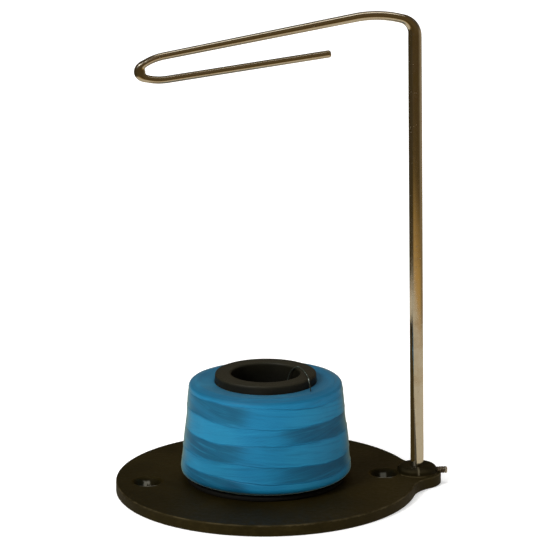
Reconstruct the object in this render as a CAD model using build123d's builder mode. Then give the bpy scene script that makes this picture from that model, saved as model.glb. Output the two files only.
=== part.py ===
from build123d import *
import math
import os

# Single-spool thread stand: a round base plate with a lug, a bent guide rod
# clamped in the lug, and a spool of thread that turns on a centre pin.
# Frame: origin at the centre of the plate's underside, +Z up, +X towards the lug.
# All lengths in millimetres, all angles in degrees.

# ---------------------------------------------------------------- base plate
plate_r = 71.9            # radius of the round plate
plate_t = 5.4             # thickness of the plate and of the lug
plate_edge = 0.7          # rounding of the plate's top rim
plate_edge_low = 0.4      # chamfer of the lower rim
lug_x = 72.9              # centre of the lug, and axis of the post
lug_r = 11.6              # radius of the lug's round end
lug_blend = 20.0          # concave radius where the lug runs into the plate
boss_r = 9.5              # raised boss around the post
boss_top = 9.0            # height of the boss above the underside
boss_edge = 2.3           # rounding of the boss's top rim
boss_foot = 0.7           # fillet where the boss meets the lug and plate

hole_spacing = 114.0      # distance between the two mounting holes
hole_r = 3.3              # through hole of each mounting hole
sink_r = 7.2              # mouth radius of the countersink
sink_edge = 1.2           # rounding of the countersink's mouth
sink_angle = 90.0

pin_screw_hole_r = 2.25   # clearance hole for the pin's screw
pin_sink_r = 4.3          # its countersink, in the underside

# ---------------------------------------------------------------- spool pin
pin_r = 4.0
pin_top = 44.0
pin_dome = 1.6
pin_bore_r = 2.0          # tapped bore for the screw, without its thread
pin_bore_depth = 11.0

# ---------------------------------------------------------------- pin screw
screw_r = 1.95
screw_head_r = 3.75
screw_len = 14.0
screw_recess = 0.35       # head sits this far inside the underside

# ---------------------------------------------------------------- guide rod
post_r = 3.175            # 1/4 inch rod
bend_mid_r = 2.7          # the rod is drawn down to a slimmer wire through the bend
arm_r = 2.1               # start of the arm
wire_r = 1.75             # hairpin nose and returning leg
nose_flat = 2.8           # half width of the nose, which is flattened where it is bent tightest
socket_floor = 1.5        # floor of the blind socket in the lug
socket_gap = 0.05         # radial running clearance of the post in its socket
post_foot = 14.0          # the post is plumb up to here
post_lean = 0.68          # above, it leans towards the spool by this angle
lean_r = 300.0
post_len = 201.03         # leaning straight part, up to the bend
bend_r1 = 8.0             # tight part of the bend, next to the post
bend_a1 = 74.0
bend_r2 = 50.0            # easy part of the bend, next to the arm
arm_droop = 10.17         # arm falls away from the post by this angle
arm_len = 90.75
nose_r3 = 25.0            # the hairpin's nose: easy, tight, easy
nose_a3 = 23.44
nose_r4 = 3.6
hairpin_open = 2.46       # the two legs open towards the post by this angle
leg_len = 77.0            # returning leg
rod_tip = 0.6             # chamfer of the rod's foot
leg_tip = 1.2             # rounding of the leg's free end

# ---------------------------------------------------------------- clamp screw
clamp_r = 1.75            # 6-32 set screw, 3.5 mm
clamp_z = 5.9             # height of its axis
clamp_out = 87.5          # outer end, measured from the plate's centre
clamp_gap = 0.03          # clearance between its tip and the post
socket_hex = 1.6          # hexagon socket, across flats
socket_depth = 2.0

# ---------------------------------------------------------------- spool core
core_gap = 0.1            # the spool's flange clears the plate by this much
core_top = 57.7
core_top_r = 24.0         # outer radius of the ring at the top
core_low_r = 26.5         # outer radius at the flange
core_bore_top = 16.4      # radius of the wide hole at the top
core_bore_low = 19.5      # radius of the hollow at its floor
flange_r = 38.0
flange_t = 2.0
core_floor = 2.0          # floor between the hub and the wall
hub_r = 7.0
hub_top = 26.0
hub_gap = 0.05            # radial running clearance on the pin

# ---------------------------------------------------------------- winding
wind_foot_r = 35.2        # radius of the package where it meets the flange
wind_low_r = 40.8         # corner of the profile near the bottom, before rounding
wind_low_z = 10.2
wind_low_fillet = 3.1
wind_top_r = 36.5         # corner of the profile at the shoulder, before rounding
wind_top_z = 52.9
wind_top_fillet = 1.9
wind_crest_r = 32.4       # the top face swells to a low crest
wind_crest_z = 54.1
wind_crest_fillet = 7.0
wind_top_in = 53.6        # height of the winding where it meets the core

# ---------------------------------------------------------------- thread tail
tail_r = 0.25
tail_points = [
    (19.20, -21.0, 53.6),
    (18.95, -18.4, 56.3),
    (18.60, -14.4, 59.2),
    (18.40, -6.7, 58.15),
    (18.10, 0.6, 58.1),
    (15.90, 6.0, 58.5),
    (12.80, 8.6, 55.6),
    (11.00, 8.4, 49.6),
    (10.10, 7.3, 43.6),
]

os.makedirs("parts", exist_ok=True)


# ================================================================ base plate
with BuildPart() as base_plate:
    # plate and lug share one outline
    with BuildSketch(Plane.XY):
        Circle(plate_r)
        with Locations((lug_x, 0)):
            Circle(lug_r)
        # concave corners between the round plate and the lug's end
        fillet(vertices().filter_by(lambda v: abs(v.Y) > 1.0 and v.X > 0), lug_blend)
    extrude(amount=plate_t)
    # top and bottom rims
    top_rim = faces().sort_by(Axis.Z)[-1].outer_wire().edges()
    fillet(top_rim, plate_edge)
    low_rim = faces().sort_by(Axis.Z)[0].outer_wire().edges()
    chamfer(low_rim, plate_edge_low)
    # raised boss around the post
    with BuildSketch(Plane.XY.offset(plate_t - 0.5)):
        with Locations((lug_x, 0)):
            Circle(boss_r)
    extrude(amount=boss_top - plate_t + 0.5)
    boss_rim = (
        edges()
        .filter_by(GeomType.CIRCLE)
        .filter_by(lambda e: abs(e.center().Z - boss_top) < 0.01)
    )
    fillet(boss_rim, boss_edge)
    boss_foot_rim = (
        edges()
        .filter_by(GeomType.CIRCLE)
        .filter_by(lambda e: abs(e.radius - boss_r) < 0.01 and abs(e.center().Z - plate_t) < 0.01)
    )
    fillet(boss_foot_rim, boss_foot)
    # blind socket for the post
    with BuildSketch(Plane.XY.offset(socket_floor)):
        with Locations((lug_x, 0)):
            Circle(post_r + socket_gap)
    extrude(amount=boss_top, mode=Mode.SUBTRACT)
    # tapped hole for the clamp screw, through the boss from the outer side
    with BuildSketch(Plane(origin=(lug_x + post_r - 1.0, 0, clamp_z), z_dir=(1, 0, 0))):
        Circle(clamp_r + 0.03)
    extrude(amount=lug_r + 6.0, mode=Mode.SUBTRACT)
    # two countersunk mounting holes on the X axis
    with Locations(
        Plane(origin=(hole_spacing / 2, 0, plate_t)),
        Plane(origin=(-hole_spacing / 2, 0, plate_t)),
    ):
        CounterSinkHole(
            radius=hole_r,
            counter_sink_radius=sink_r,
            depth=plate_t,
            counter_sink_angle=sink_angle,
        )
    mouths = (
        edges()
        .filter_by(GeomType.CIRCLE)
        .filter_by(lambda e: abs(e.radius - sink_r) < 0.01 and abs(e.center().Z - plate_t) < 0.01)
    )
    fillet(mouths, sink_edge)
    # centre hole, countersunk from below, for the pin's screw
    with Locations(Plane(origin=(0, 0, 0), z_dir=(0, 0, -1))):
        CounterSinkHole(
            radius=pin_screw_hole_r,
            counter_sink_radius=pin_sink_r,
            depth=plate_t,
            counter_sink_angle=90.0,
        )
base_plate.part.label = "base_plate"
export_step(base_plate.part, "parts/base_plate.step")


# ================================================================ spool pin
with BuildPart() as spool_pin:
    with BuildSketch(Plane.XY.offset(plate_t)):
        Circle(pin_r)
    extrude(amount=pin_top - plate_t)
    fillet(edges().group_by(Axis.Z)[-1], pin_dome)
    with BuildSketch(Plane.XY.offset(plate_t)):
        Circle(pin_bore_r)
    extrude(amount=pin_bore_depth, mode=Mode.SUBTRACT)
spool_pin.part.label = "spool_pin"
export_step(spool_pin.part, "parts/spool_pin.step")


# ================================================================ pin screw
with BuildPart() as pin_screw:
    with BuildSketch(Plane.XZ):
        with BuildLine():
            head_h = screw_head_r - screw_r
            Polyline(
                (0, screw_recess),
                (screw_head_r, screw_recess),
                (screw_head_r, screw_recess + 0.15),
                (screw_r, screw_recess + 0.15 + head_h),
                (screw_r, screw_len - 0.4),
                (screw_r - 0.4, screw_len),
                (0, screw_len),
                (0, screw_recess),
            )
        make_face()
    revolve(axis=Axis.Z)
    # cross recess for the driver, as two crossed slots
    with BuildSketch(Plane.XY.offset(screw_recess)):
        Rectangle(3.8, 0.9)
        Rectangle(0.9, 3.8)
    extrude(amount=1.3, mode=Mode.SUBTRACT)
pin_screw.part.label = "pin_screw"
export_step(pin_screw.part, "parts/pin_screw.step")


# ================================================================ guide rod
# The rod lies in the XZ plane. It goes up with a slight lean, bends over
# towards -X, droops past the spool's axis and doubles back under itself.
# In this plane local X runs from the post over the spool, and local Y is up.
rod_plane = Plane(origin=(lug_x, 0, 0), x_dir=(-1, 0, 0), z_dir=(0, 1, 0))
bend_a2 = 90.0 + arm_droop - post_lean - bend_a1
nose_a4 = 180.0 - hairpin_open - 2 * nose_a3


def across(curve, k):
    """Plane across the rod at the fraction k of a curve, its X axis along Y."""
    return Plane(origin=curve @ k, x_dir=(0, 1, 0), z_dir=curve % k)


with BuildPart() as guide_rod:
    # post: plumb foot, then a slight lean
    with BuildLine(rod_plane) as post_path:
        p1 = Line((0, socket_floor), (0, post_foot))
        p2 = JernArc(start=p1 @ 1, tangent=p1 % 1, radius=lean_r, arc_size=-post_lean)
        p3 = Line(p2 @ 1, (p2 @ 1) + (p2 % 1) * post_len)
    with BuildSketch(Plane(origin=(lug_x, 0, socket_floor))):
        Circle(post_r)
    sweep(path=post_path.line)
    chamfer(edges().group_by(Axis.Z)[0], rod_tip)
    # bend, tapering from the post to the slimmer arm
    with BuildLine(rod_plane) as bend_path:
        b1 = JernArc(start=p3 @ 1, tangent=p3 % 1, radius=bend_r1, arc_size=-bend_a1)
    for k, r in (
        (0, post_r),
        (0.25, (post_r + bend_mid_r) / 2),
        (0.5, bend_mid_r),
        (0.75, (bend_mid_r + arm_r) / 2),
        (1, arm_r),
    ):
        with BuildSketch(across(b1, k)):
            Circle(r)
    sweep(path=bend_path.line, multisection=True)
    # easy part of the bend
    with BuildLine(rod_plane) as easy_path:
        b2 = JernArc(start=b1 @ 1, tangent=b1 % 1, radius=bend_r2, arc_size=-bend_a2)
    with BuildSketch(across(b2, 0)):
        Circle(arm_r)
    sweep(path=easy_path.line)
    # arm, tapering a little more
    with BuildLine(rod_plane) as arm_path:
        a1 = Line(b2 @ 1, (b2 @ 1) + (b2 % 1) * arm_len)
    for k, r in ((0, arm_r), (1, wire_r)):
        with BuildSketch(across(a1, k)):
            Circle(r)
    sweep(path=arm_path.line, multisection=True)
    # easy curve into the nose
    with BuildLine(rod_plane) as nose_in:
        a2 = JernArc(start=a1 @ 1, tangent=a1 % 1, radius=nose_r3, arc_size=-nose_a3)
    with BuildSketch(across(a2, 0)):
        Circle(wire_r)
    sweep(path=nose_in.line)
    # tight nose, flattened by the bending
    with BuildLine(rod_plane) as nose_path:
        a3 = JernArc(start=a2 @ 1, tangent=a2 % 1, radius=nose_r4, arc_size=-nose_a4)
    with BuildSketch(across(a3, 0)):
        Circle(wire_r)
    with BuildSketch(across(a3, 0.5)):
        Ellipse(wire_r, nose_flat)
    with BuildSketch(across(a3, 1)):
        Circle(wire_r)
    sweep(path=nose_path.line, multisection=True)
    # easy curve out of the nose, and the returning leg
    with BuildLine(rod_plane) as leg_path:
        a4 = JernArc(start=a3 @ 1, tangent=a3 % 1, radius=nose_r3, arc_size=-nose_a3)
        a5 = Line(a4 @ 1, (a4 @ 1) + (a4 % 1) * leg_len)
    with BuildSketch(across(a4, 0)):
        Circle(wire_r)
    sweep(path=leg_path.line)
    # rounded free end
    fillet(edges().filter_by(GeomType.CIRCLE).sort_by_distance(a5 @ 1)[0], leg_tip)
guide_rod.part.label = "guide_rod"
export_step(guide_rod.part, "parts/guide_rod.step")
for name, path in (("post top", p3), ("bend end", b2), ("arm end", a1), ("nose in", a2), ("nose out", a3), ("leg end", a5)):
    p = path @ 1
    print(f"{name}: {p.X:.2f} {p.Y:.2f} {p.Z:.2f}")


# ================================================================ clamp screw
clamp_in = lug_x + post_r + clamp_gap
with BuildPart() as clamp_screw:
    with BuildSketch(Plane(origin=(clamp_in, 0, clamp_z), z_dir=(1, 0, 0))):
        Circle(clamp_r)
    extrude(amount=clamp_out - clamp_in)
    chamfer(edges().filter_by(GeomType.CIRCLE), 0.3)
    # hexagon socket in the outer end
    with BuildSketch(Plane(origin=(clamp_out, 0, clamp_z), z_dir=(1, 0, 0))):
        RegularPolygon(radius=socket_hex / 2, side_count=6, major_radius=False)
    extrude(amount=-socket_depth, mode=Mode.SUBTRACT)
clamp_screw.part.label = "clamp_screw"
export_step(clamp_screw.part, "parts/clamp_screw.step")


# ================================================================ spool core
# A moulded core: wide flange, tapered wall, and a floor with a hub that runs
# on the centre pin.
z_flange = plate_t + core_gap
z_seat = z_flange + flange_t
z_floor = z_seat + core_floor

with BuildPart() as spool_core:
    with BuildSketch(Plane.XZ):
        with BuildLine():
            Polyline(
                (pin_r + hub_gap, z_flange),
                (flange_r, z_flange),
                (flange_r, z_seat),
                (core_low_r, z_seat),
                (core_top_r, core_top),
                (core_bore_top, core_top),
                (core_bore_low, z_floor),
                (hub_r, z_floor),
                (hub_r, hub_top),
                (pin_r + hub_gap, hub_top),
                (pin_r + hub_gap, z_flange),
            )
        make_face()
        fillet(vertices().filter_by(lambda v: abs(v.Y - core_top) < 0.01), 0.9)
        fillet(vertices().filter_by(lambda v: abs(v.X - flange_r) < 0.01), 0.7)
    revolve(axis=Axis.Z)
spool_core.part.label = "spool_core"
export_step(spool_core.part, "parts/spool_core.step")


# ================================================================ winding
def core_outer(z):
    """Outer radius of the core's wall at height z."""
    k = (z - z_seat) / (core_top - z_seat)
    return core_low_r + k * (core_top_r - core_low_r)


with BuildPart() as thread_winding:
    with BuildSketch(Plane.XZ):
        with BuildLine():
            Polyline(
                (core_low_r, z_seat),
                (wind_foot_r, z_seat),
                (wind_low_r, wind_low_z),
                (wind_top_r, wind_top_z),
                (wind_crest_r, wind_crest_z),
                (core_outer(wind_top_in), wind_top_in),
                (core_low_r, z_seat),
            )
        make_face()
        fillet(vertices().filter_by(lambda v: abs(v.X - wind_low_r) < 0.01), wind_low_fillet)
        fillet(vertices().filter_by(lambda v: abs(v.X - wind_top_r) < 0.01), wind_top_fillet)
        fillet(vertices().filter_by(lambda v: abs(v.X - wind_crest_r) < 0.01), wind_crest_fillet)
    revolve(axis=Axis.Z)
thread_winding.part.label = "thread_winding"
export_step(thread_winding.part, "parts/thread_winding.step")


# ================================================================ thread tail
# The loose end leaves the shoulder of the winding, climbs over the core's ring,
# lies along it and hangs into the core.
tail_runs = [math.dist(a, b) for a, b in zip(tail_points, tail_points[1:])]
tail_radii = []
for i in range(1, len(tail_points) - 1):
    v_in = Vector(*tail_points[i]) - Vector(*tail_points[i - 1])
    v_out = Vector(*tail_points[i + 1]) - Vector(*tail_points[i])
    turn = math.radians(v_in.get_angle(v_out))
    tail_radii.append(0.45 * min(tail_runs[i - 1], tail_runs[i]) / math.tan(turn / 2))

with BuildPart() as thread_tail:
    with BuildLine() as tail_path:
        tail_line = FilletPolyline(*tail_points, radius=tail_radii)
    with BuildSketch(Plane(origin=tail_path.line @ 0, z_dir=tail_path.line % 0)):
        Circle(tail_r)
    sweep(path=tail_path.line)
thread_tail.part.label = "thread_tail"
export_step(thread_tail.part, "parts/thread_tail.step")
tail_len = tail_line.length
print("tail runs ", [round(r, 1) for r in tail_runs])
print("tail radii", [round(r, 1) for r in tail_radii])
print(f"tail length {tail_len:.2f}, volume {thread_tail.part.volume:.3f}, "
      f"section x length {math.pi * tail_r**2 * tail_len:.3f}")
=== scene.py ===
import math

import bmesh
import bpy
import numpy as np
from mathutils import Matrix, Vector


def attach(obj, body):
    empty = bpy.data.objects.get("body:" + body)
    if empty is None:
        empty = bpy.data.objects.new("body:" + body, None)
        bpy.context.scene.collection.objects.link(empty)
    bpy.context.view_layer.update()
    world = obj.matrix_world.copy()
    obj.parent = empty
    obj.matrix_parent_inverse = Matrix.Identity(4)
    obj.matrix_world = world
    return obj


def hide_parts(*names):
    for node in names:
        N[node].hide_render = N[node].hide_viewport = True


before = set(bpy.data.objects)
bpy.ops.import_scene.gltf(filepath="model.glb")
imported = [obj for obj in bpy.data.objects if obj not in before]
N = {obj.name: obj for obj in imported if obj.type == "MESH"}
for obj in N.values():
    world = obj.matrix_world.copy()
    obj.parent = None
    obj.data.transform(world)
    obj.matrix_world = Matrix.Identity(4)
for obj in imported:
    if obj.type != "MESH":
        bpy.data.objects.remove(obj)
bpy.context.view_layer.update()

scene = bpy.context.scene
rng = np.random.default_rng(7)

# ------------------------------------------------------------------ camera
# Orbit around the plate's centre, given in millimetres and degrees.
CAM_DIST, CAM_ELEV, CAM_AZ = 1566.2, 18.296, 5.68
CAM_YAW, CAM_PITCH, CAM_ROLL = 0.179, 14.565, -0.243
CAM_FOCAL_PX = 3260.0


def make_camera():
    a, e = math.radians(CAM_AZ), math.radians(CAM_ELEV)
    ahead = Vector((math.sin(a), math.cos(a), 0))
    place = -ahead * CAM_DIST * math.cos(e) + Vector((0, 0, CAM_DIST * math.sin(e)))
    y, p, r = (math.radians(v) for v in (a * 180 / math.pi + CAM_YAW, CAM_PITCH, CAM_ROLL))
    flat = Vector((math.sin(y), math.cos(y), 0))
    right = Vector((math.cos(y), -math.sin(y), 0))
    fwd = flat * math.cos(p) - Vector((0, 0, 1)) * math.sin(p)
    up = Vector((0, 0, 1)) * math.cos(p) + flat * math.sin(p)
    right, up = right * math.cos(r) + up * math.sin(r), up * math.cos(r) - right * math.sin(r)
    cam = bpy.data.cameras.new("camera")
    cam.sensor_width = 36.0
    cam.lens = 36.0 * CAM_FOCAL_PX / 550.0
    cam.clip_start, cam.clip_end = 0.05, 50
    o = bpy.data.objects.new("camera", cam)
    scene.collection.objects.link(o)
    m = Matrix((right, up, -fwd)).transposed().to_4x4()
    m.translation = place / 1000
    o.matrix_world = m
    scene.camera = o
    return o


make_camera()


# ------------------------------------------------------------------ node helpers
class Mat:
    """A small wrapper that makes node trees short to write."""

    def __init__(self, name):
        self.m = bpy.data.materials.new(name)
        self.m.use_nodes = True
        self.t = self.m.node_tree
        self.t.nodes.clear()
        self.out = self.t.nodes.new("ShaderNodeOutputMaterial")
        self.b = self.t.nodes.new("ShaderNodeBsdfPrincipled")
        self.t.links.new(self.b.outputs[0], self.out.inputs["Surface"])
        self._object = None

    def node(self, kind, **values):
        n = self.t.nodes.new(kind)
        for k, v in values.items():
            if hasattr(n, k):
                setattr(n, k, v)
        return n

    def put(self, socket, value):
        """Links a socket, or sets a constant straight on the input."""
        if isinstance(value, bpy.types.NodeSocket):
            self.t.links.new(value, socket)
        elif value is not None:
            socket.default_value = value

    @property
    def obj(self):
        if self._object is None:
            self._object = self.node("ShaderNodeTexCoord").outputs["Object"]
        return self._object

    def xyz(self, v=None):
        n = self.node("ShaderNodeSeparateXYZ")
        self.put(n.inputs[0], v if v is not None else self.obj)
        return n.outputs[0], n.outputs[1], n.outputs[2]

    def math(self, op, a, b=None, c=None, clamp=False):
        n = self.node("ShaderNodeMath", operation=op, use_clamp=clamp)
        self.put(n.inputs[0], a)
        if b is not None:
            self.put(n.inputs[1], b)
        if c is not None:
            self.put(n.inputs[2], c)
        return n.outputs[0]

    def noise(self, scale, detail=3.0, rough=0.55, vector=None, distortion=0.0, dims="3D"):
        n = self.node("ShaderNodeTexNoise")
        n.noise_dimensions = dims
        self.put(n.inputs["Vector"], vector if vector is not None else self.obj)
        n.inputs["Scale"].default_value = scale
        n.inputs["Detail"].default_value = detail
        n.inputs["Roughness"].default_value = rough
        n.inputs["Distortion"].default_value = distortion
        return n.outputs["Fac"]

    def scaled(self, s, v=None):
        n = self.node("ShaderNodeVectorMath", operation="MULTIPLY")
        self.put(n.inputs[0], v if v is not None else self.obj)
        n.inputs[1].default_value = s
        return n.outputs[0]

    def ramp(self, fac, lo, hi, a=0.0, b=1.0):
        """Maps fac from lo..hi to a..b, smooth and clamped."""
        n = self.node("ShaderNodeMapRange")
        n.interpolation_type = "SMOOTHSTEP"
        self.put(n.inputs["Value"], fac)
        n.inputs["From Min"].default_value = lo
        n.inputs["From Max"].default_value = hi
        n.inputs["To Min"].default_value = a
        n.inputs["To Max"].default_value = b
        return n.outputs[0]

    def mix(self, fac, a, b):
        n = self.node("ShaderNodeMix", data_type="RGBA")
        self.put(n.inputs["Factor"], fac)
        self.put(n.inputs[6], a)
        self.put(n.inputs[7], b)
        return n.outputs[2]

    def crisp_normal(self):
        """True normal on level faces, smooth normal on curved ones."""
        g = self.node("ShaderNodeNewGeometry")
        z = self.math("ABSOLUTE", self.xyz(g.outputs["True Normal"])[2])
        n = self.node("ShaderNodeMix", data_type="VECTOR")
        self.put(n.inputs["Factor"], self.math("GREATER_THAN", z, 0.9997))
        self.put(n.inputs[4], g.outputs["Normal"])
        self.put(n.inputs[5], g.outputs["True Normal"])
        return n.outputs[1]

    def bump(self, height, strength=1.0, distance=0.0002, normal=None):
        n = self.node("ShaderNodeBump")
        self.put(n.inputs["Height"], height)
        n.inputs["Strength"].default_value = strength
        n.inputs["Distance"].default_value = distance
        if normal is not None:
            self.put(n.inputs["Normal"], normal)
        return n.outputs[0]

    def set(self, **k):
        for name, v in k.items():
            self.put(self.b.inputs[name.replace("_", " ")], v)
        return self


def rgb(r, g, b):
    """sRGB 0-255 to linear."""
    f = lambda c: c / 12.92 if c <= 0.04045 else ((c + 0.055) / 1.055) ** 2.4
    return (f(r / 255), f(g / 255), f(b / 255), 1.0)


def assign(obj, mat):
    obj.data.materials.clear()
    obj.data.materials.append(mat.m if isinstance(mat, Mat) else mat)


# ------------------------------------------------------------------ materials
def plate_paint():
    """Satin brown-black enamel on a casting: soft orange peel, grain, rims lightened by wear and a painted highlight,
    and painted shade and painted highlights in the countersinks and at the boss.
    """
    m = Mat("plate_enamel")
    x, y, z = m.xyz()
    broad = m.noise(22, 4, 0.6)
    fine = m.noise(420, 3, 0.6)
    speck = m.ramp(m.noise(1500, 2, 0.5), 0.66, 0.78)
    base = m.mix(m.ramp(broad, 0.35, 0.7), rgb(25, 20, 4), rgb(36, 29, 8))
    base = m.mix(m.math("MULTIPLY", m.ramp(fine, 0.45, 0.75), 0.4), base, rgb(43, 35, 12))
    base = m.mix(m.math("MULTIPLY", speck, 0.12), base, rgb(80, 71, 52))
    # rounded rims lightened: rubbed thin by handling here and there, and a painted highlight along them
    g = m.node("ShaderNodeNewGeometry")
    nz = m.math("ABSOLUTE", m.xyz(g.outputs["True Normal"])[2])
    rim = m.math("MULTIPLY", m.ramp(nz, 0.15, 0.55), m.ramp(nz, 0.93, 0.995, 1.0, 0.0))
    rim = m.math("MULTIPLY", rim, m.ramp(m.noise(130, 4, 0.65), 0.38, 0.66, 0.15, 1.0))
    rim = m.math("MULTIPLY", rim, m.ramp(z, 0.003, 0.0045))
    # the two countersinks, whose lips screw heads have polished smoother (lower roughness further down)
    ax = m.math("ABSOLUTE", x)
    dx = m.math("SUBTRACT", ax, 0.057)
    d = m.math("SQRT", m.math("ADD", m.math("MULTIPLY", dx, dx), m.math("MULTIPLY", y, y)))
    # rims lightened outside the countersinks: wear and a painted rim highlight
    base = m.mix(m.math("MULTIPLY", m.math("MULTIPLY", rim, m.math("GREATER_THAN", d, 0.0090)), 0.42), base, rgb(92, 82, 60))
    # painted shade inside the countersinks
    d = m.math("ADD", d, m.math("MULTIPLY", m.math("SUBTRACT", m.noise(320, 2), 0.5), 0.0006))
    base = m.mix(m.math("MULTIPLY", m.ramp(d, 0.0056, 0.0076, 1.0, 0.0), 0.75), base, rgb(9, 8, 3))
    # painted highlights in the countersinks: pale patches low on the far wall and on the near lip
    adx = m.math("ABSOLUTE", m.math("ADD", dx, m.math("MULTIPLY", m.math("SUBTRACT", m.noise(500, 2), 0.5), 0.0016)))
    far = m.math("MULTIPLY", m.math("MULTIPLY", m.ramp(y, 0.0026, 0.0032), m.ramp(y, 0.0050, 0.0058, 1.0, 0.0)), m.ramp(adx, 0.0010, 0.0020, 1.0, 0.0))
    near = m.math("MULTIPLY", m.math("MULTIPLY", m.ramp(d, 0.0066, 0.0071), m.ramp(d, 0.0078, 0.0083, 1.0, 0.0)), m.math("MULTIPLY", m.ramp(y, -0.0052, -0.0044, 1.0, 0.0), m.ramp(adx, 0.0030, 0.0048, 1.0, 0.0)))
    countersink_glints = m.math("MULTIPLY", m.math("MAXIMUM", m.math("MULTIPLY", far, m.math("LESS_THAN", d, 0.0085)), near), m.ramp(m.noise(620, 2), 0.30, 0.48))
    base = m.mix(m.math("MULTIPLY", countersink_glints, 0.62), base, rgb(118, 116, 106))
    # painted shade round the foot of the boss
    bx = m.math("SUBTRACT", x, 0.0729)
    bd = m.math("SQRT", m.math("ADD", m.math("MULTIPLY", bx, bx), m.math("MULTIPLY", y, y)))
    base = m.mix(m.math("MULTIPLY", m.ramp(m.math("ADD", bd, m.math("MULTIPLY", m.math("SUBTRACT", broad, 0.5), 0.006)), 0.0088, 0.0125, 0.62, 0.0), m.ramp(z, 0.0045, 0.0056)), base, rgb(10, 9, 3))
    # the boss darker than the plate round it
    boss = m.math("MULTIPLY", m.ramp(bd, 0.0094, 0.0104, 1.0, 0.0), m.ramp(z, 0.0056, 0.0066))
    base = m.mix(m.math("MULTIPLY", boss, 0.55), base, rgb(12, 10, 4))
    # a painted highlight down the front of the boss, below the rod
    side = m.math("ABSOLUTE", m.math("ADD", m.math("ADD", bx, 0.0004), m.math("MULTIPLY", m.math("SUBTRACT", m.noise(700, 2), 0.5), 0.0009)))
    line = m.math("MULTIPLY", m.math("MULTIPLY", m.ramp(side, 0.00020, 0.0007, 1.0, 0.0), m.ramp(y, -0.0052, -0.0040, 1.0, 0.0)), m.ramp(z, 0.0060, 0.0066))
    base = m.mix(m.math("MULTIPLY", m.math("MULTIPLY", line, boss), 0.42), base, rgb(112, 104, 84))
    cone = m.ramp(d, 0.0074, 0.0086, 1.0, 0.0)
    rough = m.ramp(fine, 0.3, 0.8, 0.50, 0.64)
    rough = m.math("SUBTRACT", rough, m.math("MULTIPLY", cone, 0.16))
    h = m.math("ADD", m.math("MULTIPLY", m.noise(260, 2, 0.5), 1.0), m.math("MULTIPLY", m.noise(1400, 2, 0.5), 0.35))
    m.set(Base_Color=base, Roughness=rough, Specular_IOR_Level=0.11, Specular_Tint=(1.0, 0.84, 0.45, 1), Normal=m.bump(h, 0.3, 0.00012, m.crisp_normal()))
    return m


def plated(name, tint, tarnish, rough=0.09):
    """Polished plated wire: fine drawing lines, faint tarnish and fingerprints."""
    m = Mat(name)
    cloud = m.noise(70, 4, 0.6)
    spots = m.ramp(m.noise(800, 3, 0.6), 0.60, 0.72)
    lines = m.noise(1.0, 3, 0.6, vector=m.scaled((2600, 2600, 60)))
    col = m.mix(m.ramp(cloud, 0.42, 0.72), tint, tarnish)
    col = m.mix(m.math("MULTIPLY", spots, 0.16), col, tuple(c * 0.45 for c in tarnish[:3]) + (1,))
    r = m.math("ADD", m.ramp(cloud, 0.35, 0.8, rough, rough + 0.10), m.math("MULTIPLY", spots, 0.12))
    m.set(Base_Color=col, Metallic=1.0, Roughness=r, Normal=m.bump(lines, 0.03, 0.00002))
    return m


def core_plastic():
    m = Mat("core_moulding")
    x, y, z = m.xyz()
    grain = m.noise(1300, 3, 0.6)
    cloud = m.noise(60, 3, 0.6)
    dust = m.ramp(m.noise(2100, 2, 0.5), 0.67, 0.76)
    # the top face lighter: a painted highlight from above
    top = m.ramp(z, 0.0560, 0.0577)
    col = m.mix(m.ramp(cloud, 0.35, 0.7), rgb(16, 15, 7), rgb(25, 23, 13))
    col = m.mix(m.math("MULTIPLY", top, 0.45), col, rgb(50, 48, 35))
    col = m.mix(m.math("MULTIPLY", dust, 0.16), col, rgb(110, 106, 90))
    # darker down inside the hole: painted shade
    rad = m.math("SQRT", m.math("ADD", m.math("MULTIPLY", x, x), m.math("MULTIPLY", y, y)))
    deep = m.math("MULTIPLY", m.ramp(rad, 0.0200, 0.0215, 1.0, 0.0), m.ramp(z, 0.050, 0.0572, 1.0, 0.0))
    col = m.mix(m.math("MULTIPLY", deep, 0.6), col, rgb(9, 9, 5))
    # the flange under the package darker and rougher: painted shade
    low = m.ramp(z, 0.0085, 0.0100, 1.0, 0.0)
    col = m.mix(m.math("MULTIPLY", low, 0.85), col, rgb(5, 4, 2))
    rough = m.math("ADD", m.ramp(grain, 0.3, 0.8, 0.45, 0.65), m.math("MULTIPLY", low, 0.3))
    m.set(Base_Color=col, Roughness=rough, Specular_IOR_Level=0.19, Normal=m.bump(grain, 0.25, 0.00008, m.crisp_normal()))
    return m


def turned_steel(name, col=(0.42, 0.41, 0.39, 1), scale=3000):
    m = Mat(name)
    rings = m.noise(1.0, 2, 0.6, vector=m.scaled((60, 60, scale)))
    cloud = m.noise(150, 3, 0.6)
    m.set(
        Base_Color=m.mix(m.ramp(cloud, 0.35, 0.7), col, tuple(c * 0.6 for c in col[:3]) + (1,)),
        Metallic=1.0,
        Roughness=m.ramp(cloud, 0.3, 0.8, 0.24, 0.42),
        Normal=m.bump(rings, 0.15, 0.00005),
    )
    return m


# ------------------------------------------------------------------ thread package
PITCH = 0.00062      # spacing of the strands on the face
TILT = math.tan(math.radians(13.5))
BORDERS = [50.0, 41.0, 32.3, 22.3, 15.1, 8.8]      # heights of the band borders, mm
QUARTER = math.radians(-95.7)


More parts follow.
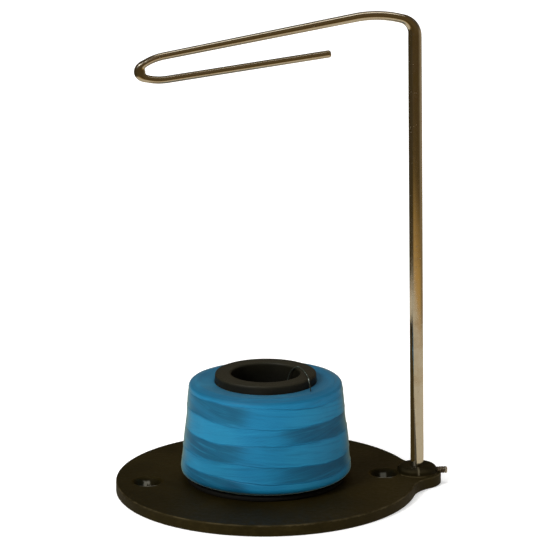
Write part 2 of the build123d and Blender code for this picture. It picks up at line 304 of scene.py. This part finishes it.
def rounded(points, radii, step):
    """A polyline in (radius, height) with its corners rounded, evenly spaced."""
    pts = [np.array(p, float) for p in points]
    out = [pts[0]]
    for p0, p1, p2, r in zip(pts, pts[1:], pts[2:], radii):
        u, v = (p0 - p1) / np.linalg.norm(p0 - p1), (p2 - p1) / np.linalg.norm(p2 - p1)
        h = math.acos(max(-1, min(1, float(u @ v)))) / 2
        c = p1 + (u + v) / np.linalg.norm(u + v) * r / math.sin(h)
        qa, qb = p1 + u * r / math.tan(h), p1 + v * r / math.tan(h)
        a0, a1 = math.atan2(*(qa - c)[::-1]), math.atan2(*(qb - c)[::-1])
        if a1 - a0 > math.pi:
            a1 -= 2 * math.pi
        if a1 - a0 < -math.pi:
            a1 += 2 * math.pi
        for t in np.linspace(a0, a1, 24):
            out.append(c + r * np.array([math.cos(t), math.sin(t)]))
    out.append(pts[-1])
    out = np.array(out)
    s = np.concatenate([[0], np.cumsum(np.hypot(*np.diff(out, axis=0).T))])
    u = np.linspace(0, s[-1], int(s[-1] / step))
    return np.stack([np.interp(u, s, out[:, 0]), np.interp(u, s, out[:, 1])], 1) / 1000, u / 1000


def package_profile():
    """The package's outline, from the core at the top down to the flange, in metres."""
    return rounded(
        [(24.45, 53.52), (32.4, 54.0), (36.42, 52.85), (40.72, 10.2), (35.3, 7.62)],
        [7.0, 1.9, 3.1],
        0.125,
    )


def smooth_noise(theta, z, seeds, amp):
    """A sum of a few waves around and along the package, periodic in theta."""
    v = 0
    for k, f, ph, w in seeds:
        v = v + w * np.sin(k * theta + f * z * 1000 + ph)
    return amp * v


def make_package():
    prof, s = package_profile()
    cols = 560
    th = np.linspace(0, 2 * np.pi, cols, endpoint=False)
    T, S = np.meshgrid(th, s)
    R = np.repeat(prof[:, 0][:, None], cols, 1)
    Z = np.repeat(prof[:, 1][:, None], cols, 1)
    # outward normal of the outline
    d = np.gradient(prof, axis=0)
    d /= np.hypot(d[:, 0], d[:, 1])[:, None]
    nr, nz = -d[:, 1], d[:, 0]
    if nr[260] < 0:
        nr, nz = -nr, -nz
    side_top = 0.0515
    # borders of the crossing bands, each with its own slow wave round the package
    turn = T - QUARTER
    borders = []
    for i, z0 in enumerate(BORDERS):
        w = -0.85 * np.sin(turn) + 0.42 * np.sin(2 * T + 1.7 * i) + 0.30 * np.sin(3 * T + 2.9 * i * i + 0.6)
        w += 0.16 * np.sin(7 * T + 1.1 * i) + 0.09 * np.sin(15 * T + 4.1 * i) + 0.05 * np.sin(31 * T + 2.3 * i)
        borders.append((z0 + w) / 1000)
    idx = sum((Z < zb).astype(int) for zb in borders)
    sign = np.where(idx % 2 == 1, 1.0, -1.0)
    near = np.full(Z.shape, 1.0)      # distance to the nearest border
    over = np.full(Z.shape, -1.0)     # below (+) or above (-) it
    for zb in borders:
        dz = np.abs(Z - zb)
        over = np.where(dz < near, np.where(Z < zb, 1.0, -1.0), over)
        near = np.minimum(near, dz)
    live = ((idx > 0) & (idx < len(BORDERS))).astype(float)
    # strands
    arc = T * 0.0385
    turns = np.round(2 * np.pi * 0.0385 * TILT / PITCH)
    phase_p = S / PITCH + turns * T / (2 * np.pi)
    phase_m = S / PITCH - turns * T / (2 * np.pi)
    jit = smooth_noise(T, Z, [(7, 0.7, 0.3, 0.5), (13, 1.3, 2.2, 0.35), (29, 2.9, 1.2, 0.2)], 0.35)
    ridge = lambda p: np.sqrt(np.abs(np.cos(np.pi * (p + jit))) + 1e-6) - 0.75
    a = ridge(phase_p)
    b = ridge(phase_m)
    h = np.where(sign > 0, a, b)
    # crossing under-layer shows a little through
    h = 0.82 * h + 0.18 * np.where(sign > 0, b, a)
    # the top face is laid in rings
    flat = np.clip((Z - side_top) / 0.0009, 0, 1)
    h = h * (1 - flat) + ridge(S / PITCH) * flat
    strand = 0.000055 * h
    # each band lies over the next one's edge, here more and there less
    part = 0.5 + 0.5 * np.sin(3 * T + 2.0 * idx + 0.8) * np.cos(2 * T - 1.3 * idx)
    part = np.clip(0.15 + 1.1 * part, 0, 1)
    lift = 0.00022 * part * np.where(over < 0, np.exp(-((near / 0.0007) ** 2)), -0.8 * np.exp(-((near / 0.0004) ** 2)))
    swell = 0.00012 * np.clip(near / 0.004, 0, 1) * sign
    slow = smooth_noise(T, Z, [(2, 0.09, 1.3, 1), (3, 0.17, 3.3, 0.8), (6, 0.31, 0.5, 0.4)], 0.00009)
    ends = np.clip(S / 0.004, 0, 1) * np.clip((s[-1] - S) / 0.003, 0, 1)
    disp = strand + (lift + swell * live) * ends * (1 - flat) + slow * ends
    NR, NZ = nr[:, None], nz[:, None]
    R2, Z2 = R + disp * NR, Z + disp * NZ
    co = np.stack([R2 * np.cos(T), R2 * np.sin(T), Z2], -1).reshape(-1, 3)
    rows = len(s)
    # close the ring inside, against the core
    inner = [(24.40, 52.6), (24.9, 45.0), (26.4, 9.0), (26.6, 7.62)]
    extra = []
    for r_, z_ in inner:
        extra.append(np.stack([np.full(cols, r_ / 1000) * np.cos(th), np.full(cols, r_ / 1000) * np.sin(th), np.full(cols, z_ / 1000)], -1))
    co = np.concatenate([co] + extra)
    order = list(range(rows)) + [rows + 3, rows + 2, rows + 1, rows]
    j = np.arange(cols)
    jn = (j + 1) % cols
    faces = []
    for i0, i1 in zip(order, order[1:] + order[:1]):
        faces.append(np.stack([i0 * cols + j, i1 * cols + j, i1 * cols + jn, i0 * cols + jn], -1))
    faces = np.concatenate(faces)
    me = bpy.data.meshes.new("thread_package")
    me.vertices.add(len(co))
    me.vertices.foreach_set("co", co.astype(np.float32).ravel())
    me.loops.add(len(faces) * 4)
    me.loops.foreach_set("vertex_index", faces.astype(np.int32).ravel())
    me.polygons.add(len(faces))
    me.polygons.foreach_set("loop_start", np.arange(0, len(faces) * 4, 4, dtype=np.int32))
    me.polygons.foreach_set("loop_total", np.full(len(faces), 4, dtype=np.int32))
    me.polygons.foreach_set("use_smooth", np.ones(len(faces), dtype=bool))
    me.update(calc_edges=True)
    me.validate()
    # per-vertex marks for the material: which way the strands run, how deep in a groove
    # (painted darker there as shade), a painted sheen, and painted shade along the band borders.
    # The sheen is painted as a slow checkerboard, as two families of strands would catch the light on opposite
    # quarters, with wavy, slightly overrun borders, and the top face is painted darker.
    swing = np.sin(2 * turn + smooth_noise(T, Z, [(1, 0.10, 0.7, 1), (3, 0.23, 2.9, 0.5)], 0.16)) * sign * live
    step = lambda v, lo, hi: (lambda q: q * q * (3 - 2 * q))(np.clip((v - lo) / (hi - lo), 0, 1))
    wide = smooth_noise(T, Z, [(2, 0.33, 1.9, 1.0), (5, 0.52, 0.4, 0.7), (9, 0.81, 3.3, 0.4)], 0.16)
    crisp = step(near, 0.0, 0.00060) * np.clip(0.84 + wide, 0, 1)
    dull = step(-swing, 0.02, 0.95) * crisp
    glow = step(swing, 0.15, 1.0) * crisp
    painted_sheen = (glow - dull) * (1 - flat) - 0.45 * flat
    # painted shade along the band borders
    crease_shade = np.exp(-((near / 0.00028) ** 2)) * part * (1 - flat)
    lay = np.concatenate([(sign * (1 - flat)).ravel(), np.zeros(cols * 4)])
    groove_shade = np.concatenate([(0.5 + 0.5 * np.clip(h, -1, 1)).ravel(), np.zeros(cols * 4)])
    painted_sheen = np.concatenate([(0.5 + 0.5 * painted_sheen).ravel(), np.full(cols * 4, 0.5)])
    crease_shade = np.concatenate([crease_shade.ravel(), np.zeros(cols * 4)])
    for name, v in (("lay", lay), ("groove_shade", groove_shade), ("painted_sheen", painted_sheen), ("crease_shade", crease_shade)):
        at = me.attributes.new(name, "FLOAT", "POINT")
        at.data.foreach_set("value", v.astype(np.float32))
    o = bpy.data.objects.new("thread_package", me)
    scene.collection.objects.link(o)
    return o


def thread_material(name="thread_blue", tail=False):
    m = Mat(name)
    hue = m.noise(55, 3, 0.6)
    if tail:
        glint = m.ramp(m.noise(420, 2, 0.5), 0.52, 0.66)
        # darker where the end dips into the core's hole: painted shade
        low = m.ramp(m.xyz()[2], 0.0560, 0.0578, 1.0, 0.0)
        col = m.mix(glint, rgb(50, 56, 48), rgb(128, 138, 132))
        col = m.mix(m.math("MULTIPLY", low, 0.75), col, rgb(24, 30, 26))
        m.set(Base_Color=col, Roughness=0.6, Specular_IOR_Level=0.1)
        return m
    x, y, z = m.xyz()
    groove_shade = m.node("ShaderNodeAttribute", attribute_name="groove_shade").outputs["Fac"]
    lay = m.node("ShaderNodeAttribute", attribute_name="lay").outputs["Fac"]
    # fine filaments inside each strand, as long streaks around the package
    ang = m.math("ARCTAN2", y, x)
    comb = m.node("ShaderNodeCombineXYZ")
    m.put(comb.inputs[0], m.math("MULTIPLY", m.math("COSINE", ang), 0.6))
    m.put(comb.inputs[1], m.math("MULTIPLY", m.math("SINE", ang), 0.6))
    m.put(comb.inputs[2], m.math("MULTIPLY", m.math("ADD", z, m.math("MULTIPLY", m.math("MULTIPLY", lay, ang), 0.0085)), 5200.0))
    fil = m.noise(1.0, 3, 0.65, vector=comb.outputs[0])
    comb2 = m.node("ShaderNodeCombineXYZ")
    m.put(comb2.inputs[0], m.math("MULTIPLY", m.math("COSINE", ang), 1.6))
    m.put(comb2.inputs[1], m.math("MULTIPLY", m.math("SINE", ang), 1.6))
    m.put(comb2.inputs[2], m.math("MULTIPLY", m.math("ADD", z, m.math("MULTIPLY", m.math("MULTIPLY", lay, ang), 0.0030)), 620.0))
    streak = m.noise(1.0, 4, 0.55, vector=comb2.outputs[0], distortion=0.35)
    painted_sheen = m.node("ShaderNodeAttribute", attribute_name="painted_sheen").outputs["Fac"]
    crease_shade = m.node("ShaderNodeAttribute", attribute_name="crease_shade").outputs["Fac"]
    # painted shade in the grooves; dark, mid and light copies of the blue, picked by the painted sheen
    shade = lambda lo, hi: m.mix(m.ramp(groove_shade, 0.1, 0.8), lo, hi)
    dark, mid, light = shade(rgb(2, 62, 90), rgb(5, 75, 105)), shade(rgb(9, 95, 133), rgb(14, 112, 153)), shade(rgb(17, 104, 139), rgb(24, 121, 160))
    col = m.mix(m.ramp(painted_sheen, 0.06, 0.5), dark, m.mix(m.ramp(painted_sheen, 0.5, 0.94), mid, light))
    col = m.mix(m.math("MULTIPLY", m.ramp(fil, 0.4, 0.75), 0.20), col, rgb(36, 138, 178))
    col = m.mix(m.math("MULTIPLY", m.ramp(hue, 0.4, 0.7), 0.20), col, rgb(14, 100, 128))
    col = m.mix(m.ramp(streak, 0.30, 0.50, 0.34, 0.0), col, rgb(4, 74, 106))
    col = m.mix(m.ramp(streak, 0.54, 0.76, 0.0, 0.30), col, rgb(30, 134, 172))
    # painted shade along the band borders
    col = m.mix(m.math("MULTIPLY", crease_shade, 0.40), col, rgb(4, 60, 92))
    lw = m.node("ShaderNodeLayerWeight")
    lw.inputs["Blend"].default_value = 0.35
    # the grazing sides painted a grey-green sheen by their angle to the view, hardly on the top
    up = m.xyz(m.node("ShaderNodeNewGeometry").outputs["Normal"])[2]
    edge_sheen = m.math("MULTIPLY", m.ramp(lw.outputs["Facing"], 0.42, 0.98, 0.0, 0.80), m.ramp(up, 0.25, 0.80, 1.0, 0.15))
    col = m.mix(edge_sheen, col, rgb(98, 122, 98))
    m.set(
        Base_Color=col,
        Roughness=m.ramp(fil, 0.3, 0.8, 0.46, 0.60),
        Specular_IOR_Level=0.16,
        Sheen_Weight=0.22,
        Sheen_Roughness=0.28,
        Sheen_Tint=rgb(210, 205, 150),
        Normal=m.bump(fil, 0.25, 0.00006),
    )
    return m


# ------------------------------------------------------------------ loose thread end
TAIL_POINTS = [
    (19.20, -21.0, 53.6),
    (18.95, -18.4, 56.3),
    (18.60, -14.4, 59.2),
    (18.40, -6.7, 58.15),
    (18.10, 0.6, 58.1),
    (15.90, 6.0, 58.5),
    (12.80, 8.6, 55.6),
    (11.00, 8.4, 49.6),
    (10.10, 7.3, 43.6),
]


def make_tail():
    cu = bpy.data.curves.new("loose_thread", "CURVE")
    cu.dimensions = "3D"
    sp = cu.splines.new("NURBS")
    sp.points.add(len(TAIL_POINTS) - 1)
    for p, q in zip(sp.points, TAIL_POINTS):
        p.co = (q[0] / 1000, q[1] / 1000, q[2] / 1000, 1)
    sp.order_u = 3
    sp.use_endpoint_u = True
    cu.resolution_u = 16
    cu.bevel_depth = 0.00025
    cu.bevel_resolution = 3
    cu.use_fill_caps = True
    o = bpy.data.objects.new("loose_thread", cu)
    scene.collection.objects.link(o)
    return o


# ------------------------------------------------------------------ guide rod
def make_rod():
    """The bent rod, swept along its centre line: (length, turn) runs and arcs in the XZ plane."""
    a1, a3 = 74.0, 23.44
    a2, a4 = 90 + 10.17 - 0.68 - a1, 180 - 2.46 - 2 * a3
    runs = [
        ("line", 14.0 - 1.5, 0), ("arc", 300.0, 0.68), ("line", 201.03, 0),
        ("arc", 8.0, a1), ("arc", 50.0, a2), ("line", 90.75, 0),
        ("arc", 25.0, a3), ("arc", 3.6, a4), ("arc", 25.0, a3), ("line", 77.0, 0),
    ]
    p, t = np.array([0.0, 1.5]), 90.0     # local x runs from the post over the spool
    pts, tan, mark = [p], [t], [0.0]
    for k, (kind, size, turn) in enumerate(runs):
        if kind == "line":
            n = max(6, int(size / 1.6))
            d = np.array([math.cos(math.radians(t)), math.sin(math.radians(t))])
            for i in range(1, n + 1):
                pts.append(p + d * size * i / n)
                tan.append(t)
                mark.append(k + i / n)
            p = pts[-1]
        else:
            n = max(10, int(turn / 1.6))
            c = p + size * np.array([math.cos(math.radians(t - 90)), math.sin(math.radians(t - 90))])
            for i in range(1, n + 1):
                u = t - turn * i / n
                pts.append(c + size * np.array([math.cos(math.radians(u + 90)), math.sin(math.radians(u + 90))]))
                tan.append(u)
                mark.append(k + i / n)
            p, t = pts[-1], t - turn
    pts, tan, mark = np.array(pts), np.radians(np.array(tan)), np.array(mark)
    # radii across (Y) and in the plane of the bends
    s = np.concatenate([[0], np.cumsum(np.hypot(*np.diff(pts, axis=0).T))])
    at = lambda m_: np.interp(m_, mark, s)
    ry = np.interp(s, [0, at(3), at(3.5), at(4), at(5), at(6), s[-1]], [3.175, 3.175, 2.7, 2.1, 2.1, 1.75, 1.75])
    # the tight nose is flattened by the bending, most at its middle
    rp = ry + 1.05 * np.sin(np.pi * np.clip((s - at(7)) / (at(8) - at(7)), 0, 1)) ** 1.3
    # soften the joins of the taper, so that the surface has no crease
    fine = np.linspace(0, s[-1], 3000)
    ker = np.hanning(41)
    ker /= ker.sum()
    blur = lambda v: np.convolve(np.pad(np.interp(fine, s, v), 20, mode="edge"), ker, "valid")
    ry, rp = np.interp(s, fine, blur(ry)), np.interp(s, fine, blur(rp))
    # both cut ends are rounded off, the free one most
    tip, tip1 = 0.6, 1.2
    rows, seg = [], 64
    ph = np.linspace(0, 2 * np.pi, seg, endpoint=False)

    def ring(c, ang, a, b):
        n = np.array([-math.sin(ang), math.cos(ang)])
        x = c[0] + b * np.sin(ph) * n[0]
        z = c[1] + b * np.sin(ph) * n[1]
        return np.stack([0.0729 - x / 1000, a * np.cos(ph) / 1000, z / 1000], -1)

    d0 = np.array([math.cos(tan[0]), math.sin(tan[0])])
    d1 = np.array([math.cos(tan[-1]), math.sin(tan[-1])])
    for q in np.linspace(0, math.pi / 2, 7)[:-1]:
        k = 3.175 - tip * (1 - math.sin(q))
        rows.append(ring(pts[0] + d0 * tip * (1 - math.cos(q)), tan[0], k, k))
    keep = (s > tip * 1.05) & (s < s[-1] - tip1 * 1.03)
    for c, ang, a, b in zip(pts[keep], tan[keep], ry[keep], rp[keep]):
        rows.append(ring(c, ang, a, b))
    for q in np.linspace(math.pi / 2, 0, 12):
        k = 1.75 - tip1 * (1 - math.sin(q))
        rows.append(ring(pts[-1] - d1 * tip1 * (1 - math.cos(q)), tan[-1], k, k))
    co = np.concatenate(rows)
    nr = len(rows)
    j = np.arange(seg)
    jn = (j + 1) % seg
    faces = []
    for i in range(nr - 1):
        faces.append(np.stack([i * seg + j, i * seg + jn, (i + 1) * seg + jn, (i + 1) * seg + j], -1))
    me = bpy.data.meshes.new("bent_rod")
    fl = [tuple(int(v) for v in f) for f in np.concatenate(faces)]
    fl.append(tuple(int(v) for v in j[::-1]))
    fl.append(tuple(int(v) for v in (nr - 1) * seg + j))
    me.from_pydata([tuple(v) for v in co], [], fl)
    me.polygons.foreach_set("use_smooth", [True] * (len(fl) - 2) + [False, False])
    me.update()
    bm = bmesh.new()
    bm.from_mesh(me)
    bmesh.ops.recalc_face_normals(bm, faces=bm.faces)
    bm.to_mesh(me)
    bm.free()
    o = bpy.data.objects.new("bent_rod", me)
    scene.collection.objects.link(o)
    return o


# ------------------------------------------------------------------ clamp screw
def make_clamp_screw():
    """The set screw with its thread, a flat chamfered tip and a hexagon socket in its outer end."""
    x0, x1, zc = 0.0729 + 0.003175 + 0.00003, 0.0875, 0.0059
    pitch, r, depth = 0.000794, 0.00175, 0.00040
    seg = 72
    th = np.linspace(0, 2 * np.pi, seg, endpoint=False)
    rows = []

    def ring(x, rad):
        rad = np.broadcast_to(rad, th.shape)
        rows.append(np.stack([np.full(seg, x), rad * np.cos(th), zc + rad * np.sin(th)], -1))

    ring(x0, 0.0006)
    ring(x0, 0.0011)
    n = 170
    for i in range(n + 1):
        x = x0 + (x1 - x0) * i / n
        ph = (x / pitch - th / (2 * np.pi)) % 1.0
        cut = np.clip(1.25 - 2.5 * np.abs(ph - 0.5), 0, 1)
        body = r - depth * (1 - cut)
        cone = np.minimum(0.00125 + np.minimum(x - x0, x1 - x) * 1.15, r)
        land = r - 0.00006 if x > x1 - 0.00045 else 0.0
        ring(x, np.minimum(np.maximum(body, land), cone))
    hexa = 0.0008 / np.cos((th + np.pi / 6) % (np.pi / 3) - np.pi / 6)
    ring(x1, np.maximum(hexa + 0.00014, 0.00108))
    ring(x1, hexa + 0.00004)
    ring(x1 - 0.00005, hexa)
    ring(x1 - 0.0018, hexa)
    ring(x1 - 0.0018, hexa * 0.97)
    ring(x1 - 0.0020, 0.0003)
    nr = len(rows)
    j = np.arange(seg)
    jn = (j + 1) % seg
    fl = []
    for i in range(nr - 1):
        fl += [tuple(int(v) for v in f) for f in np.stack([i * seg + j, i * seg + jn, (i + 1) * seg + jn, (i + 1) * seg + j], -1)]
    fl.append(tuple(int(v) for v in j[::-1]))
    fl.append(tuple(int(v) for v in (nr - 1) * seg + j))
    me = bpy.data.meshes.new("set_screw")
    me.from_pydata([tuple(v) for v in np.concatenate(rows)], [], fl)
    me.polygons.foreach_set("use_smooth", [True] * (len(fl) - 2) + [False, False])
    me.update()
    bm = bmesh.new()
    bm.from_mesh(me)
    bmesh.ops.recalc_face_normals(bm, faces=bm.faces)
    for e in bm.edges:
        if len(e.link_faces) == 2 and e.calc_face_angle(0) > 0.7:
            e.smooth = False
    bm.to_mesh(me)
    bm.free()
    o = bpy.data.objects.new("set_screw", me)
    scene.collection.objects.link(o)
    return o


def screw_steel():
    """Browned steel, darker in the roots of the thread, with a bright, uncoated end and painted shade in its hexagon
    socket.
    """
    m = Mat("screw_steel")
    x, y, z = m.xyz()
    cloud = m.noise(500, 3, 0.6)
    end = m.ramp(m.math("ADD", x, m.math("MULTIPLY", m.math("SUBTRACT", cloud, 0.5), 0.0003)), 0.08600, 0.08630)
    r = m.math("SQRT", m.math("ADD", m.math("MULTIPLY", y, y), m.math("MULTIPLY", m.math("SUBTRACT", z, 0.0059), m.math("SUBTRACT", z, 0.0059))))
    root = m.ramp(r, 0.00138, 0.00170, 1.0, 0.0)
    body = m.mix(m.ramp(cloud, 0.3, 0.75), (0.20, 0.17, 0.12, 1), (0.34, 0.30, 0.23, 1))
    body = m.mix(m.math("MULTIPLY", root, 0.85), body, (0.02, 0.016, 0.009, 1))
    # painted shade in the hexagon socket
    inside = m.math("MULTIPLY", m.ramp(r, 0.00084, 0.00100, 1.0, 0.0), end)
    col = m.mix(end, body, (0.72, 0.70, 0.66, 1))
    col = m.mix(inside, col, (0.05, 0.045, 0.035, 1))
    m.set(Base_Color=col, Metallic=1.0, Roughness=m.mix(end, m.ramp(cloud, 0.3, 0.8, 0.38, 0.6), (0.22, 0.22, 0.22, 1)), Normal=m.bump(m.noise(2500, 2), 0.15, 0.00003))
    return m


# ------------------------------------------------------------------ build
assign(N["base_plate"], plate_paint())
rod = make_rod()
assign(rod, plated("rod_plate", (0.80, 0.75, 0.65, 1), (0.70, 0.61, 0.47, 1), 0.11))
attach(rod, "guide")
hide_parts("guide_rod")
screw = make_clamp_screw()
assign(screw, screw_steel())
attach(screw, "clamp")
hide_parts("clamp_screw")
assign(N["spool_core"], core_plastic())
assign(N["spool_pin"], turned_steel("pin_steel"))
assign(N["pin_screw"], turned_steel("pin_screw_steel", (0.5, 0.48, 0.44, 1), 900))

package = make_package()
assign(package, thread_material())
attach(package, "spool")
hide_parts("thread_winding")

tail = make_tail()
tail.data.materials.append(thread_material("thread_end", tail=True).m)
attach(tail, "spool")
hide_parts("thread_tail")


# ------------------------------------------------------------------ floor, light
def stage_set():
    bpy.ops.mesh.primitive_plane_add(size=14, location=(0, 0, 0))
    floor = bpy.context.object
    floor.name = "floor"
    m = Mat("floor_pale")
    x, y, z = m.xyz()
    away = m.math("SQRT", m.math("ADD", m.math("MULTIPLY", x, x), m.math("MULTIPLY", y, y)))
    m.set(Base_Color=(0.90, 0.90, 0.90, 1), Roughness=1.0, Specular_IOR_Level=0.0, Emission_Color=(1, 1, 1, 1), Emission_Strength=m.ramp(away, 0.35, 1.30, 0.40, 0.66))
    assign(floor, m)
    w = bpy.data.worlds.new("studio")
    scene.world = w
    w.use_nodes = True
    nt = w.node_tree
    nt.nodes.clear()
    out = nt.nodes.new("ShaderNodeOutputWorld")
    bg = nt.nodes.new("ShaderNodeBackground")
    # brighter towards the horizon than overhead
    tc = nt.nodes.new("ShaderNodeTexCoord")
    sp = nt.nodes.new("ShaderNodeSeparateXYZ")
    mr = nt.nodes.new("ShaderNodeMapRange")
    mr.interpolation_type = "SMOOTHSTEP"
    for k_, v_ in (("From Min", 0.10), ("From Max", 0.34), ("To Min", 0.99), ("To Max", 0.50)):
        mr.inputs[k_].default_value = v_
    nt.links.new(tc.outputs["Generated"], sp.inputs[0])
    nt.links.new(sp.outputs[2], mr.inputs["Value"])
    nt.links.new(mr.outputs[0], bg.inputs[1])
    bg.inputs[0].default_value = (1.0, 0.997, 0.99, 1)
    nt.links.new(bg.outputs[0], out.inputs[0])

    def area(name, place, aim, size, power, colour=(1, 1, 1), size_y=None):
        l = bpy.data.lights.new(name, "AREA")
        l.shape = "RECTANGLE"
        l.size, l.size_y = size, size_y or size
        l.energy = power
        l.color = colour
        o = bpy.data.objects.new(name, l)
        scene.collection.objects.link(o)
        o.location = place
        o.rotation_mode = "QUATERNION"
        o.rotation_quaternion = (Vector(aim) - Vector(place)).to_track_quat("-Z", "Y")
        return o

    area("key", (-0.85, -0.75, 0.85), (0, 0, 0.05), 0.40, 12, (1.0, 0.98, 0.95))
    area("top", (-0.1, 0.55, 1.3), (0, 0, 0.05), 0.7, 5, (1.0, 0.98, 0.95))

    # A ring of reflecting screens. Only glossy reflections meet them: dark ahead and to
    # the left, lighter to the right, a warm table below and an open top.
    def screen_mat(name, build):
        k = Mat(name)
        k.t.nodes.remove(k.b)
        e = k.node("ShaderNodeEmission")
        k.t.links.new(e.outputs[0], k.out.inputs["Surface"])
        k.put(e.inputs["Color"], build(k))
        return k

    def screen(name, me, mat):
        o = bpy.data.objects.new(name, me)
        scene.collection.objects.link(o)
        assign(o, mat)
        for flag in ("camera", "diffuse", "transmission", "volume_scatter", "shadow"):
            setattr(o, "visible_" + flag, False)
        return o

    def ring_colour(k):
        x, y, z = k.xyz()
        # 0 ahead of the lens, growing to the right (counter-clockwise from above)
        ang = k.math("ARCTAN2", k.math("SUBTRACT", x, 0.04), k.math("MULTIPLY", y, -1.0))
        right = k.math("MULTIPLY", k.ramp(ang, 0.85, 1.95), k.ramp(ang, 2.05, 2.6, 1.0, 0.0))
        low = k.ramp(z, 0.012, 0.085, 1.0, 0.0)
        dark = k.mix(low, (0.060, 0.036, 0.008, 1), (0.42, 0.25, 0.07, 1))
        dark = k.mix(k.ramp(z, 0.17, 0.30), dark, (0.084, 0.053, 0.017, 1))
        front = k.math("MULTIPLY", k.ramp(ang, -1.15, -0.55), 1.0)
        deep = k.mix(front, (0.040, 0.027, 0.008, 1), dark)
        lit = k.mix(k.ramp(z, 0.02, 0.12), (0.17, 0.125, 0.062, 1), (0.30, 0.245, 0.165, 1))
        lit = k.mix(k.ramp(z, 0.22, 0.32), lit, (0.06, 0.048, 0.034, 1))
        return k.mix(right, deep, lit)

    R, H, n = 0.33, 0.95, 128
    co, fs = [], []
    for i in range(n):
        a = 2 * math.pi * i / n
        for z in (0.0005, H):
            co.append((0.03 + R * math.cos(a), R * math.sin(a), z))
    for i in range(n):
        j = (i + 1) % n
        fs.append((2 * i, 2 * j, 2 * j + 1, 2 * i + 1))
    me = bpy.data.meshes.new("flag_ring")
    me.from_pydata(co, [], fs)
    me.polygons.foreach_set("use_smooth", [True] * len(fs))
    screen("flag_ring", me, screen_mat("flag_ring", ring_colour))

    def table_colour(k):
        x, y, z = k.xyz()
        return k.mix(k.noise(6, 2), (0.40, 0.342, 0.240, 1), (0.55, 0.488, 0.378, 1))

    me = bpy.data.meshes.new("flag_table")
    me.from_pydata([(0.03 + R * math.cos(2 * math.pi * i / n), R * math.sin(2 * math.pi * i / n), 0.0004) for i in range(n)], [], [tuple(range(n))])
    screen("flag_table", me, screen_mat("flag_table", table_colour))
    def lid_colour(k):
        # dark ceiling with a lit strip straight above the arm
        x, y, z = k.xyz()
        strip = k.math("MULTIPLY", k.math("MULTIPLY", k.ramp(y, -0.12, -0.07), k.ramp(y, 0.08, 0.13, 1.0, 0.0)), k.ramp(x, -0.36, -0.24))
        return k.mix(strip, (0.060, 0.046, 0.026, 1), (1.45, 1.36, 1.17, 1))

    me = bpy.data.meshes.new("flag_lid")
    me.from_pydata([(0.03 + R * math.cos(2 * math.pi * i / n), R * math.sin(2 * math.pi * i / n), H) for i in range(n)], [], [tuple(range(n))])
    screen("flag_lid", me, screen_mat("flag_lid", lid_colour))
    # a narrow card between the spool and the post keeps the thread out of the post's reflection
    me = bpy.data.meshes.new("flag_card")
    me.from_pydata([(0.0655, -0.008, 0.0095), (0.0655, 0.030, 0.0095), (0.0655, 0.030, 0.104), (0.0655, 0.022, 0.100), (0.0655, 0.000, 0.078), (0.0655, -0.005, 0.055)], [], [(0, 1, 2, 3, 4, 5)])
    screen("flag_card", me, screen_mat("flag_card", lambda k: (0.050, 0.034, 0.010, 1)))
    scene.view_settings.view_transform = "Standard"
    scene.view_settings.look = "None"


stage_set()
